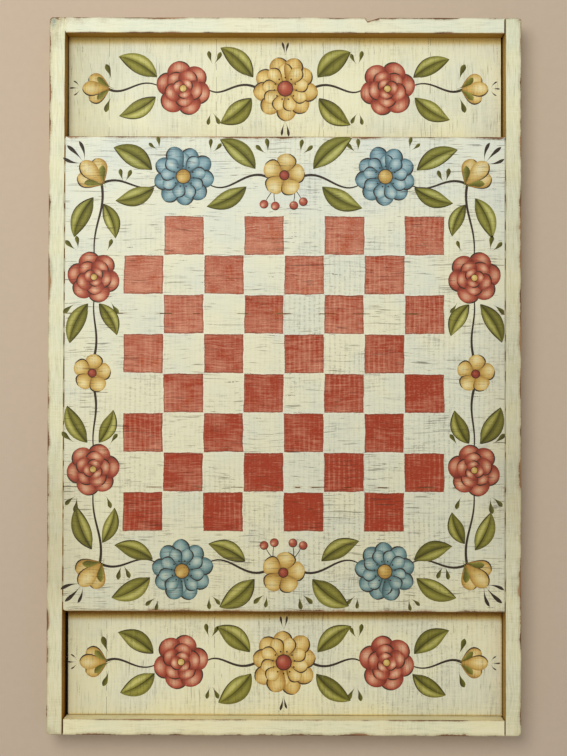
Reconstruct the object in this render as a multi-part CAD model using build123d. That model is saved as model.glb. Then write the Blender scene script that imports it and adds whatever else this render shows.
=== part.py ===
from build123d import *
import os

# A painted wooden checkerboard with an open tray for captured pieces at each end.
# It lies flat: X runs across it, Y along it towards the upper tray, and Z up out of the playing face.
# The origin is at the middle of the footprint, on the plane that the rails stand on.
# Four rails stand on edge round a floor of tongue-and-groove boards that runs lengthwise.
# Three planks lie across the floor between the side rails, level with them on top, and carry the squares.
# The floor left bare past the planks is the floor of the two trays. Everything is held with nails.
# All sizes are millimetres.

# Rails: strips on edge. The side rails run the full length, and the end rails fit between them.
overall_width = 374.5
rail_width = 12.7
rail_end_round = 3.0
rail_edge_ease = 0.6
upper_rail_gaps = (0.2, 0.8)  # between the upper end rail and the side rails, left and right
lower_rail_gaps = (0.9, 0.6)

# Trays: the free length of floor between an end rail and the planks.
upper_tray_length = 82.0
lower_tray_length = 84.6

# Planks across the floor, from the upper one to the lower one.
plank_names = ("upper", "middle", "lower")
plank_widths = (140.6, 137.0, 98.0)
plank_thickness = 12.7
plank_seam = 0.2
plank_end_gap = 0.4
plank_edge_ease = 0.5

# Floor boards, lengthwise, with a tongue on the right edge and a groove in the left one.
# The first and the last are ripped narrower, and the others share the width between them.
floor_board_count = 5
first_board_width = 33.3
last_board_width = 57.8
board_thickness = 9.5
board_seam = 0.2
board_end_gap = 0.3
tongue_length = 4.8
tongue_thickness = 3.2
tongue_clearance = 0.25
# The outer edges were ripped a little out of square, so the slots beside them taper.
left_floor_gaps = (0.5, 2.8)  # at the upper end and at the lower end
right_floor_gaps = (1.5, 0.5)
# From the floor's underside up to the plane that the rails stand on.
back_recess = 3.2

# A chip knocked out of the upper end rail's outer edge.
chip_centre_x = 69.0
chip_length = 11.0
chip_width = 3.6
chip_depth = 7.0

# Finishing nails, driven through the rails and set a little below the surface.
nail_length = 38.0
nail_radius = 0.8
nail_head_radius = 1.3
nail_head_height = 1.4
nail_neck_length = 0.5
nail_point_length = 3.0
nail_set = 0.5
# Flat-headed brads, driven up from the back through the floor into the planks.
brad_radius = 0.65
brad_head_radius = 1.7
brad_head_height = 0.7
brad_point_length = 2.0
brad_cover = 4.2  # wood left over a brad's point, below the playing face
nail_clearance = 0.05

# Where the nails go.
corner_nail_drop = 3.6  # from the floor's nails down to the lower nail of a corner
plank_nail_inset = 34.0  # from a plank's long edge to a nail in its end
tray_nail_inset = 45.0  # from an end rail to the side nail that holds the tray's floor
brad_inset = 16.0  # from a plank's long edge to its rows of brads
brad_edge_distance = 12.0  # least distance from a brad to the side rail

# Places that follow from the sizes.
rail_depth = back_recess + board_thickness + plank_thickness
panel_length = sum(plank_widths) + plank_seam * (len(plank_widths) - 1)
overall_length = 2 * rail_width + upper_tray_length + panel_length + lower_tray_length
half_length = overall_length / 2
half_width = overall_width / 2
inner_x = half_width - rail_width
inner_y = half_length - rail_width
panel_top_y = inner_y - upper_tray_length
floor_top = back_recess + board_thickness
floor_middle = back_recess + board_thickness / 2
plank_middle = floor_top + plank_thickness / 2

sides = {"left": -1, "right": 1}
ends = {"upper": 1, "lower": -1}


def plank_spans():
    """The low and high Y of each plank by name."""
    spans = {}
    high = panel_top_y
    for name, width in zip(plank_names, plank_widths):
        spans[name] = (high - width, high)
        high -= width + plank_seam
    return spans


def board_joints():
    """The X of each seam between floor boards, from left to right."""
    first = -inner_x + first_board_width
    last = inner_x - last_board_width
    step = (last - first) / (floor_board_count - 2)
    return [first + number * step for number in range(floor_board_count - 1)]


def board_middles():
    """The X of each floor board's middle."""
    edges = [-inner_x] + board_joints() + [inner_x]
    return [(low + high) / 2 for low, high in zip(edges, edges[1:])]


def turned_nail(length, radius, head_radius, head_height, neck_length, point_length, grow=0.0, reach=0.0):
    """A nail along +Z with its head's face at the origin. With grow and reach it is the hole for one."""
    under_head = head_height + grow
    outline = Polyline(
        (0, -reach),
        (head_radius + grow, -reach),
        (head_radius + grow, under_head),
        (radius + grow, under_head + neck_length),
        (radius + grow, length - point_length),
        (0, length + grow),
        close=True,
    )
    return Rot(90, 0, 0) * revolve(make_face(outline), Axis.Y)


def finishing_nail(**hole):
    """A slim nail with a small tapered head."""
    head = (nail_head_radius, nail_head_height, nail_neck_length)
    return turned_nail(nail_length, nail_radius, *head, nail_point_length, **hole)


def brad(**hole):
    """A short nail with a flat head, as long as the floor and planks leave room for."""
    length = board_thickness + plank_thickness - brad_cover
    head = (brad_head_radius, brad_head_height, 0.0)
    return turned_nail(length, brad_radius, *head, brad_point_length, **hole)


def from_side(side, y, z):
    """A place on a side rail's outer face, with Z pointing into the board. side is -1 or 1."""
    start = (side * (half_width - nail_set), y, z)
    return Plane(origin=start, x_dir=(0, 1, 0), z_dir=(-side, 0, 0)).location


def from_end(end, x, z):
    """A place on an end rail's outer face, with Z pointing into the board. end is -1 or 1."""
    start = (x, end * (half_length - nail_set), z)
    return Plane(origin=start, x_dir=(1, 0, 0), z_dir=(0, -end, 0)).location


def corner_nail_places(side, end):
    """Two nails through a side rail into the end rail that butts against it."""
    y = end * (half_length - rail_width / 2)
    return [from_side(side, y, z) for z in (floor_middle - corner_nail_drop, plank_middle)]


def side_nail_places(side):
    """Two nails into the end of each plank, and one into the floor's edge at each tray."""
    places = []
    for low, high in plank_spans().values():
        for y in (low + plank_nail_inset, high - plank_nail_inset):
            places.append(from_side(side, y, plank_middle))
    for end in ends.values():
        places.append(from_side(side, end * (inner_y - tray_nail_inset), floor_middle))
    return places


def end_nail_places(end):
    """One nail through an end rail into the end of each floor board."""
    return [from_end(end, x, floor_middle) for x in board_middles()]


def brad_places(span):
    """Two rows of brads along a plank, one brad to each floor board and row."""
    low, high = span
    reach = inner_x - brad_edge_distance
    columns = [max(-reach, min(reach, x)) for x in board_middles()]
    rows = (low + brad_inset, high - brad_inset)
    return [Location((x, y, back_recess)) for y in rows for x in columns]


def all_of(groups):
    """The places of every group, in one list."""
    return [place for places in groups.values() for place in places]


corner_nails = {
    (side, end): corner_nail_places(side, end) for side in sides.values() for end in ends.values()
}
side_nails = {side: side_nail_places(side) for side in sides.values()}
end_nails = {end: end_nail_places(end) for end in ends.values()}
plank_brads = {name: brad_places(span) for name, span in plank_spans().items()}


def boxes_meet(first, second):
    """Whether two bounding boxes touch or overlap."""
    a, b = first.min, first.max
    c, d = second.min, second.max
    return a.X <= d.X and c.X <= b.X and a.Y <= d.Y and c.Y <= b.Y and a.Z <= d.Z and c.Z <= b.Z


def drilled(wood, nail_places, brad_spots=()):
    """The wood with a hole for each nail and brad that reaches it."""
    nail_hole = finishing_nail(grow=nail_clearance, reach=2 * nail_set)
    brad_hole = brad(grow=nail_clearance, reach=nail_clearance)
    holes = [place * nail_hole for place in nail_places] + [place * brad_hole for place in brad_spots]
    box = wood.bounding_box()
    reached = [hole for hole in holes if boxes_meet(hole.bounding_box(), box)]
    return wood - reached if reached else wood


def side_rail(side):
    """A full-length rail with rounded outer corners and eased long edges."""
    centre = Pos(side * (half_width - rail_width / 2), 0, rail_depth / 2)
    rail = centre * Box(rail_width, overall_length, rail_depth)
    upright_edges = rail.edges().filter_by(Axis.Z).sort_by(Axis.X)
    outer_edges = upright_edges[:2] if side < 0 else upright_edges[-2:]
    rail = fillet(outer_edges, rail_end_round)
    rail = fillet(rail.edges().filter_by(Axis.Y), rail_edge_ease)
    corners = [place for end in ends.values() for place in corner_nails[side, end]]
    return drilled(rail, side_nails[side] + corners)


def end_rail(end):
    """A rail between the side rails. The upper one has lost a chip from its outer edge."""
    left_gap, right_gap = upper_rail_gaps if end > 0 else lower_rail_gaps
    low_x = -inner_x + left_gap
    high_x = inner_x - right_gap
    centre = Pos((low_x + high_x) / 2, end * (half_length - rail_width / 2), rail_depth / 2)
    rail = centre * Box(high_x - low_x, rail_width, rail_depth)
    rail = fillet(rail.edges().filter_by(Axis.X), rail_edge_ease)
    if end > 0:
        rail -= rail_chip()
    corners = [place for side in sides.values() for place in corner_nails[side, end]]
    return drilled(rail, end_nails[end] + corners)


def rail_chip():
    """A wedge, widest at its left end, that runs out at the rail's outer face."""
    left = chip_centre_x - chip_length / 2
    right = chip_centre_x + chip_length / 2
    outside = half_length + rail_edge_ease
    outline = Polyline(
        (left, outside),
        (left, half_length - chip_width),
        (right, half_length),
        (right, outside),
        close=True,
    )
    return Pos(0, 0, rail_depth - chip_depth) * extrude(make_face(outline), 2 * chip_depth)


def play_plank(name, span):
    """One plank across the floor, cut for the nails in its ends and the brads from below."""
    low, high = span
    centre = Pos(0, (low + high) / 2, plank_middle)
    plank = centre * Box(2 * (inner_x - plank_end_gap), high - low, plank_thickness)
    plank = fillet(plank.edges().group_by(Axis.Z)[-1], plank_edge_ease)
    return drilled(plank, all_of(side_nails), plank_brads[name])


def board_blank(left_edge, right_edge):
    """A floor board without its tongue and groove. Each edge is its X at the upper and the lower end."""
    reach = inner_y - board_end_gap
    outline = Polyline(
        (left_edge[1], -reach),
        (right_edge[1], -reach),
        (right_edge[0], reach),
        (left_edge[0], reach),
        close=True,
    )
    return Pos(0, 0, back_recess) * extrude(make_face(outline), board_thickness)


def board_tongue(joint):
    """The tongue that reaches to the right from a seam."""
    centre = Pos(joint - board_seam + tongue_length / 2, 0, floor_middle)
    return centre * Box(tongue_length, 2 * (inner_y - board_end_gap), tongue_thickness)


def board_groove(joint):
    """The room for that tongue in the next board."""
    low_x = joint - board_seam
    high_x = low_x + tongue_length + tongue_clearance
    centre = Pos((low_x + high_x) / 2, 0, floor_middle)
    return centre * Box(high_x - low_x, 2 * inner_y, tongue_thickness + 2 * tongue_clearance)


def floor_board(number):
    """One lengthwise board. The first has no groove and the last no tongue."""
    joints = board_joints()
    left_edge = [-inner_x + gap for gap in left_floor_gaps]
    right_edge = [inner_x - gap for gap in right_floor_gaps]
    if number > 0:
        left_edge = [joints[number - 1]] * 2
    if number < len(joints):
        right_edge = [joints[number] - board_seam] * 2
    board = board_blank(left_edge, right_edge)
    if number < len(joints):
        board += board_tongue(joints[number])
    if number > 0:
        board -= board_groove(joints[number - 1])
    return drilled(board, all_of(side_nails) + all_of(end_nails), all_of(plank_brads))


def nail_group(nail_shape, places):
    """Separate nails of one kind, kept together."""
    return Compound([place * nail_shape for place in places])


def build():
    """Every piece of the board by name."""
    pieces = {}
    for side_name, side in sides.items():
        pieces[f"{side_name}_side_rail"] = side_rail(side)
        pieces[f"{side_name}_rail_nails"] = nail_group(finishing_nail(), side_nails[side])
    for end_name, end in ends.items():
        pieces[f"{end_name}_end_rail"] = end_rail(end)
        pieces[f"{end_name}_rail_nails"] = nail_group(finishing_nail(), end_nails[end])
        for side_name, side in sides.items():
            corner = nail_group(finishing_nail(), corner_nails[side, end])
            pieces[f"{end_name}_{side_name}_corner_nails"] = corner
    for name, span in plank_spans().items():
        pieces[f"{name}_play_plank"] = play_plank(name, span)
        pieces[f"{name}_plank_brads"] = nail_group(brad(), plank_brads[name])
    for number in range(floor_board_count):
        pieces[f"floor_board_{number + 1}"] = floor_board(number)
    return pieces


def main():
    os.makedirs("parts", exist_ok=True)
    for name, shape in build().items():
        export_step(shape, f"parts/{name}.step")
    print(f"{overall_width:.1f} x {overall_length:.1f} x {rail_depth:.1f} mm")


main()
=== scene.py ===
import math
import random

import bpy
import numpy as np
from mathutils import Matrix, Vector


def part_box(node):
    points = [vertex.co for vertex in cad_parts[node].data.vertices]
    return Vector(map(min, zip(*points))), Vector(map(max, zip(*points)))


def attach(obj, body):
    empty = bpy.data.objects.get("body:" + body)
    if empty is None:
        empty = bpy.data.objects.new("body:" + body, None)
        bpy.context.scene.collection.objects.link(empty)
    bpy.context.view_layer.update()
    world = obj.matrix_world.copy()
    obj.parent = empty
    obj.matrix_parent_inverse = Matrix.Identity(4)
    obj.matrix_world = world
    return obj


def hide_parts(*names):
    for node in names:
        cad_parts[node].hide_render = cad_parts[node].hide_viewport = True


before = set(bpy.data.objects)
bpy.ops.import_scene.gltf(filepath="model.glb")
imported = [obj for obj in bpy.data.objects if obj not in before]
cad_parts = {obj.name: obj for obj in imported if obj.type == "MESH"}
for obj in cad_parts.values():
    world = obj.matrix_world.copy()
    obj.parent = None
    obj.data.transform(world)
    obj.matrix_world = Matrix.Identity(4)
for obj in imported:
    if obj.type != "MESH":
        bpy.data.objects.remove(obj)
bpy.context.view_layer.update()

# An old painted checkerboard, seen from straight above.
# Lengths in this script are millimetres, in the frame's axes, until a mesh, lamp or camera is made.
MM = 0.001
AXES = "xyz"
FACES = ("-x", "+x", "-y", "+y", "-z", "+z")

# Paint films lie on the wood and inside the CAD box, so the wood's top is this far below the box.
FILM_ROOM = 0.22


def node_box(node):
    """The lowest and highest corner of a CAD node, in millimetres."""
    low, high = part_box(node)
    return np.array(low) / MM, np.array(high) / MM


def wooden_box(node):
    """The corners of a board, less the room that the paint films need on its top."""
    low, high = BOXES[node]
    return low, high - (0, 0, FILM_ROOM)


PLANKS = ("upper_play_plank", "middle_play_plank", "lower_play_plank")
SIDE_RAILS = ("left_side_rail", "right_side_rail")
END_RAILS = ("upper_end_rail", "lower_end_rail")
BOXES = {node: node_box(node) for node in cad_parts}

wood_top = BOXES["left_side_rail"][1][2] - FILM_ROOM
inner_right = BOXES["right_side_rail"][0][0]
inner_left = -inner_right
panel_top = BOXES["upper_play_plank"][1][1]
panel_bottom = BOXES["lower_play_plank"][0][1]
panel_middle = (panel_top + panel_bottom) / 2
upper_rail_y = BOXES["upper_end_rail"][0][1]
lower_rail_y = BOXES["lower_end_rail"][1][1]
floor_bottom, floor_top = BOXES["floor_board_3"][0][2], BOXES["floor_board_3"][1][2]
half_length = BOXES["left_side_rail"][1][1]

# The squares: 8 by 8, centred on the planks.
SQUARE_X = 31.75
SQUARE_Y = 31.2
SQUARES = 8
grid_left = -0.5 - SQUARES / 2 * SQUARE_X
grid_top = panel_middle + SQUARES / 2 * SQUARE_Y


# Camera, lamp, world and floor.

# The camera's place comes from the board's corners and the depth of its trays in the photograph.
CAMERA_PLACE = (2.1, -14.9, 974.0)
CAMERA_TILT = (0.01335, 0.00295, 0.0027)  # radians
FOCAL_PIXELS = 1201.0
FRAME_HEIGHT = 756
SENSOR = 36.0

LAMP_PLACE = (-330.0, 430.0, 1150.0)
LAMP_SIZE = 760.0
LAMP_WATTS = 9.0
SKY_LIGHT = 0.48
FLOOR_COLOUR = (0.56, 0.45, 0.345)


def add_camera():
    data = bpy.data.cameras.new("camera")
    data.sensor_width = SENSOR
    data.lens = FOCAL_PIXELS / FRAME_HEIGHT * SENSOR
    data.clip_start = 0.05
    data.clip_end = 50.0
    camera = bpy.data.objects.new("camera", data)
    camera.location = [length * MM for length in CAMERA_PLACE]
    camera.rotation_euler = CAMERA_TILT
    bpy.context.collection.objects.link(camera)
    bpy.context.scene.camera = camera


def add_lamp():
    """One soft lamp up and to the left, so that the walls of the trays shade their floors."""
    data = bpy.data.lights.new("soft_lamp", "AREA")
    data.shape = "DISK"
    data.size = LAMP_SIZE * MM
    data.energy = LAMP_WATTS
    data.color = (1.0, 0.985, 0.955)
    lamp = bpy.data.objects.new("soft_lamp", data)
    lamp.location = [length * MM for length in LAMP_PLACE]
    lamp.rotation_euler = lamp.location.to_track_quat("Z", "Y").to_euler()
    bpy.context.collection.objects.link(lamp)


def set_world():
    world = bpy.data.worlds.new("studio")
    world.use_nodes = True
    sky = world.node_tree.nodes["Background"]
    sky.inputs["Color"].default_value = (1.0, 0.99, 0.97, 1.0)
    sky.inputs["Strength"].default_value = SKY_LIGHT
    bpy.context.scene.world = world
    bpy.context.scene.view_settings.view_transform = "Standard"


# Shader nodes.


class Field:
    """A shader socket that adds, subtracts and multiplies like a number."""

    __array_ufunc__ = None  # a numpy number to its left leaves the sum to this class

    def __init__(self, shader, socket):
        self.shader = shader
        self.socket = socket

    def __add__(self, other):
        return self.shader.math("ADD", self, other)

    def __sub__(self, other):
        return self.shader.math("SUBTRACT", self, other)

    def __rsub__(self, other):
        return self.shader.math("SUBTRACT", other, self)

    def __mul__(self, other):
        return self.shader.math("MULTIPLY", self, other)

    def __abs__(self):
        return self.shader.math("ABSOLUTE", self)

    __radd__ = __add__
    __rmul__ = __mul__


class Shader:
    """Short calls for building one material. A value given to a call is a field or a constant."""

    def __init__(self, name):
        self.material = bpy.data.materials.new(name)
        self.material.use_nodes = True
        self.tree = self.material.node_tree
        self.tree.nodes.clear()
        self.surface = self.node("ShaderNodeBsdfPrincipled")
        output = self.node("ShaderNodeOutputMaterial")
        self.tree.links.new(self.surface.outputs[0], output.inputs["Surface"])

    def node(self, kind, **settings):
        made = self.tree.nodes.new(kind)
        for name, value in settings.items():
            setattr(made, name, value)
        return made

    def feed(self, socket, value):
        if isinstance(value, Field):
            self.tree.links.new(value.socket, socket)
        elif hasattr(socket.default_value, "__len__") and len(value) < len(socket.default_value):
            socket.default_value = (*value, 1.0)
        else:
            socket.default_value = value

    def field(self, kind, values, output=0, **settings):
        """What a new node gives, with values for its inputs by name or number."""
        made = self.node(kind, **settings)
        for key, value in values.items():
            self.feed(made.inputs[key], value)
        return Field(self, made.outputs[output])

    def math(self, operation, *values, clamp=False):
        return self.field("ShaderNodeMath", dict(enumerate(values)), operation=operation, use_clamp=clamp)

    def times(self, vector, factors):
        return self.field("ShaderNodeVectorMath", {0: vector, 1: factors}, operation="MULTIPLY")

    def shifted(self, vector, offset):
        return self.field("ShaderNodeVectorMath", {0: vector, 1: offset}, operation="ADD")

    def mix(self, share, first, second, blend="MIX"):
        """A colour between two others: the first where share is 0 and the second where it is 1."""
        values = {"Factor": share, 6: first, 7: second}
        return self.field("ShaderNodeMix", values, 2, data_type="RGBA", clamp_factor=True, blend_type=blend)

    def tint(self, share, colour, factors):
        return self.mix(share, colour, factors, blend="MULTIPLY")

    def band(self, value, low, high):
        """A smooth rise from 0 at low to 1 at high. With low above high it falls."""
        rising = low < high
        values = {
            "Value": value, "From Min": min(low, high), "From Max": max(low, high),
            "To Min": 0.0 if rising else 1.0, "To Max": 1.0 if rising else 0.0,
        }
        return self.field("ShaderNodeMapRange", values, "Result", interpolation_type="SMOOTHSTEP")

    def noise(self, vector, feature, detail=2.0, roughness=0.5, shift=None, stretch=None, output="Fac"):
        """Noise with features of one size. shift picks another part of it, and stretch draws it out."""
        if shift:
            vector = self.shifted(vector, (*shift, 0.0))
        if stretch:
            vector = self.times(vector, stretch)
        values = {"Vector": vector, "Scale": 1.0 / feature, "Detail": detail, "Roughness": roughness}
        return self.field("ShaderNodeTexNoise", values, output)

    def attribute(self, name, output="Fac"):
        return self.field("ShaderNodeAttribute", {}, output, attribute_name=name)

    def place(self):
        """Object coordinates in millimetres."""
        return self.times(self.field("ShaderNodeTexCoord", {}, "Object"), (1 / MM,) * 3)

    def split(self, vector):
        made = self.node("ShaderNodeSeparateXYZ")
        self.feed(made.inputs[0], vector)
        return [Field(self, output) for output in made.outputs]

    def finish(self, colour, roughness, height, depth, specular=0.3):
        """The material, with a relief as deep as depth millimetres."""
        bump = self.node("ShaderNodeBump")
        bump.inputs["Distance"].default_value = depth * MM
        bump.inputs["Strength"].default_value = 1.0
        self.feed(bump.inputs["Height"], height)
        self.feed(self.surface.inputs["Base Color"], colour)
        self.feed(self.surface.inputs["Roughness"], roughness)
        self.feed(self.surface.inputs["Normal"], Field(self, bump.outputs[0]))
        self.surface.inputs["Specular IOR Level"].default_value = specular
        return self.material


# Paint and wood.

GRAIN_STRETCH = 1 / 16
DASH_STRETCH = {"x": (0.6, 1.0, 1.0), "y": (1.0, 0.6, 1.0)}
LONG_STRETCH = {"x": (0.22, 1.0, 1.0), "y": (1.0, 0.22, 1.0)}
CRACK_STRETCH = (0.4, 0.4, 0.4)
ROW_STRETCH = (0.3, 1.0, 1.0)
FLECK_STRETCH = (0.35, 1.0, 1.0)
# Each look is a paint: its two creams, its tints at the upper end of the board and at the lower end,
# which way the grain runs, and how strong the brush marks, the weave marks and the cracks are.
# The lower tints are painted shade: darker and yellower towards the lower end, away from the lamp.
LOOKS = {
    "plank": {
        "warm": (0.83, 0.82, 0.60), "cool": (0.755, 0.785, 0.645), "upper": (0.95, 0.98, 1.06),
        "lower": (0.87, 0.83, 0.74), "grain": "x", "brushing": 1.0, "weave": 1.0, "cracks": 1.0,
    },
    "tray": {
        "warm": (0.82, 0.80, 0.53), "cool": (0.72, 0.73, 0.55), "upper": (1.0, 1.0, 1.0),
        "lower": (1.0, 0.97, 0.93), "grain": "y", "brushing": 0.6, "weave": 0.9, "cracks": 0.62,
    },
    "end_rail": {
        "warm": (0.80, 0.78, 0.55), "cool": (0.75, 0.78, 0.60), "upper": (1.0, 1.0, 1.0),
        "lower": (1.05, 0.99, 0.86), "grain": "x", "brushing": 0.5, "weave": 0.1, "cracks": 0.3,
    },
    "side_rail": {
        "warm": (0.755, 0.73, 0.465), "cool": (0.69, 0.71, 0.50), "upper": (1.0, 1.0, 1.0),
        "lower": (0.97, 0.93, 0.89), "grain": "y", "brushing": 0.6, "weave": 0.15, "cracks": 0.3,
    },
}
# Golden and brown glazing, which also stands for painted shade and its warm bounce in the corners and on
# faces turned from the lamp.
SHADE_AND_GLAZING_GOLD = (0.82, 0.62, 0.27)
SHADE_AND_GLAZING_BROWN = (0.53, 0.33, 0.045)
STAIN = (0.25, 0.135, 0.022)
UNDERCOAT = (0.33, 0.37, 0.28)
UMBER = (0.055, 0.033, 0.018)
WEAVE_GREY = (0.38, 0.375, 0.31)
CREAM_LIGHT = (0.84, 0.83, 0.64)
WOOD_LIGHT = (0.40, 0.22, 0.10)
WOOD_DARK = (0.16, 0.075, 0.032)
OLD_WOOD = (0.33, 0.235, 0.15)
STEEL = (0.06, 0.05, 0.045)
RUST = (0.19, 0.075, 0.03)
RED_LIGHT = (0.66, 0.29, 0.175)
RED_DEEP = (0.335, 0.034, 0.006)
RED_ORANGE = (1.0, 0.86, 0.66)
RED_LINE = (0.19, 0.055, 0.022)
DARKER_SIDES_TINT = (0.83, 0.81, 0.80)
SIDE_TINT = (0.84, 0.83, 0.77)
HALO_TINT = (1.06, 1.05, 1.10)
PAINT_RELIEF = 0.12
ORNAMENT_RELIEF = 0.08
# Each tray's lower and upper end, how far glazing and painted shade reach from its upper wall, and how
# thick they are there.
TRAYS = ((panel_top, upper_rail_y, 8.5, 0.50), (lower_rail_y, panel_bottom, 11.0, 1.0))
# Where the paint is darker near the sides: side, height up the board, reach and strength.
DARKER_SIDES = ((1, -30.0, 170.0, 1.0), (1, 130.0, 75.0, 0.5), (1, -82.0, 55.0, 0.45), (-1, -125.0, 85.0, 1.0))
BRISTLE_TINT = (1.18, 1.18, 1.10)
WEAVE = 3.94
WEAVE_BEND = 1.6
# How far the hand that painted the squares strayed: slowly, and at the bristles.
SQUARE_WOBBLE = 2.0
SQUARE_RAGGED = 0.7


def stretched(shader, place, along):
    """Coordinates that draw noise out along one axis."""
    return shader.times(place, [GRAIN_STRETCH if axis == along else 1.0 for axis in AXES])


def bare_wood(shader, place, grain):
    """Brown softwood with darker late wood."""
    along_place = stretched(shader, place, grain)
    rings = shader.noise(along_place, 2.2, detail=3.0)
    pores = shader.noise(along_place, 0.5, detail=1.0)
    return shader.mix(shader.band(rings, 0.4, 0.62) + 0.3 * pores, WOOD_LIGHT, WOOD_DARK)


def dark_lines(shader, place, along_place, speckle, grain):
    """Short dashes in clusters, fine cracks, and a few long ones, all along the grain."""
    cluster = shader.noise(place, 20.0, shift=(310.0, 170.0))
    dashes = shader.noise(along_place, 0.85, detail=1.0, shift=(40.0, 90.0), stretch=DASH_STRETCH[grain])
    dashes = shader.band(dashes, 0.64, 0.71) * shader.band(cluster, 0.50, 0.60)
    cracks = shader.noise(along_place, 0.4, detail=1.0, shift=(7.0, 3.0), stretch=CRACK_STRETCH)
    cracks = shader.band(cracks, 0.71, 0.75) * shader.band(speckle, 0.35, 0.55)
    longest = shader.noise(along_place, 0.75, detail=1.0, shift=(11.0, 37.0), stretch=LONG_STRETCH[grain])
    longest = shader.band(longest, 0.725, 0.76) * shader.band(speckle, 0.30, 0.42)
    return shader.math("MAXIMUM", shader.math("MAXIMUM", dashes, cracks), longest)


def weave_share(shader, place):
    """Where weave marks show: in patches, and most in the lower right of the squares."""
    x, y, _ = shader.split(place)
    patches = shader.band(shader.noise(place, 46.0, detail=1.0, shift=(260.0, 40.0)), 0.40, 0.60)
    rightward = shader.band(x, -80.0, 40.0)
    downward = shader.band(y, 110.0, 10.0)
    outside = shader.band(abs(x), 124.0, 140.0)
    share = 0.50 * patches + 0.22 * rightward + 0.26 * downward - 0.28 * outside
    return shader.math("ADD", share, 0.05, clamp=True)


def paint_parts(shader, place, look):
    """The fields that the paint and what lies on it share: streaks both ways, patches, weave and cracks."""
    grain = look["grain"]
    drift = shader.noise(place, 34.0, detail=1.0, output="Color")
    drifted = shader.shifted(place, shader.times(drift, (5.0, 5.0, 0.0)))
    along_place = stretched(shader, drifted, grain)
    across_place = stretched(shader, drifted, "y" if grain == "x" else "x")
    speckle = shader.noise(drifted, 1.0)
    smudge = shader.noise(drifted, 15.0, detail=3.0, roughness=0.6, shift=(90.0, 510.0))

    x, _, _ = shader.split(place)
    bend, _, _ = shader.split(drift)
    columns = shader.math("SINE", (WEAVE_BEND * bend + x) * (2 * math.pi / WEAVE))
    rows = shader.noise(drifted, 1.7, detail=1.0, shift=(130.0, 60.0), stretch=ROW_STRETCH)
    flecks = shader.noise(place, 0.7, shift=(20.0, 230.0), stretch=FLECK_STRETCH)
    woven = weave_share(shader, place)
    return {
        "fibres": shader.noise(along_place, 1.2, roughness=0.55),
        "fine": shader.noise(along_place, 0.5, detail=1.0, shift=(70.0, 20.0)),
        "hairs": shader.noise(across_place, 1.0, roughness=0.55),
        "patches": shader.noise(drifted, 30.0, detail=3.0),
        "broad": shader.noise(drifted, 95.0),
        "speckle": speckle,
        "smudge": shader.band(smudge, 0.46, 0.66),
        "woven": woven,
        "columns": shader.band(columns, 0.0, 0.95) * woven * look["weave"],
        "rows": shader.band(rows, 0.46, 0.60) * woven * look["weave"],
        "flecks": shader.band(flecks, 0.57, 0.70),
        "dark": dark_lines(shader, drifted, along_place, speckle, grain) * look["cracks"],
    }


def cream_paint(shader, parts, look):
    """Cream paint brushed both ways, with grey weave marks and smudges."""
    tone = 0.6 * parts["patches"] + 0.6 * parts["broad"]
    colour = shader.mix(shader.band(tone, 0.50, 0.72), look["warm"], look["cool"])
    hairs = (parts["hairs"] - 0.5) * (0.26 * parts["woven"] + 0.14)
    brushed = 0.50 * parts["fibres"] + 0.24 * parts["fine"] + hairs + 0.04 * parts["woven"] + 0.08
    grime = (0.52 * parts["smudge"] + 0.12) * shader.band(brushed, 0.46, 0.60) * look["brushing"]
    colour = shader.mix(grime, colour, WEAVE_GREY)
    colour = shader.mix(0.5 * shader.band(brushed, 0.49, 0.40), colour, CREAM_LIGHT)
    colour = shader.mix(0.08 * parts["columns"] + 0.03 * parts["rows"], colour, UMBER)
    colour = shader.mix(0.05 * parts["flecks"], colour, UMBER)
    knots = parts["columns"] * parts["rows"] * shader.band(parts["speckle"], 0.36, 0.60)
    return shader.mix(0.32 * knots, colour, UMBER)


def darkened(shader, colour, place, look):
    """Painted shade, darker and yellower towards the board's lower end, away from the lamp; and darker near
    the sides at a few listed heights.
    """
    x, y, _ = shader.split(place)
    colour = shader.tint(shader.band(y, 80.0, 175.0), colour, look["upper"])
    # Painted shade towards the lower end.
    colour = shader.tint(shader.band(y, half_length, -half_length), colour, look["lower"])
    for side, height, reach, strength in DARKER_SIDES:
        outward = shader.band(side * x, 140.0, 186.0)
        beside = shader.band(abs(y - height), reach, 0.3 * reach)
        colour = shader.tint(strength * outward * beside, colour, DARKER_SIDES_TINT)
    return colour


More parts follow.
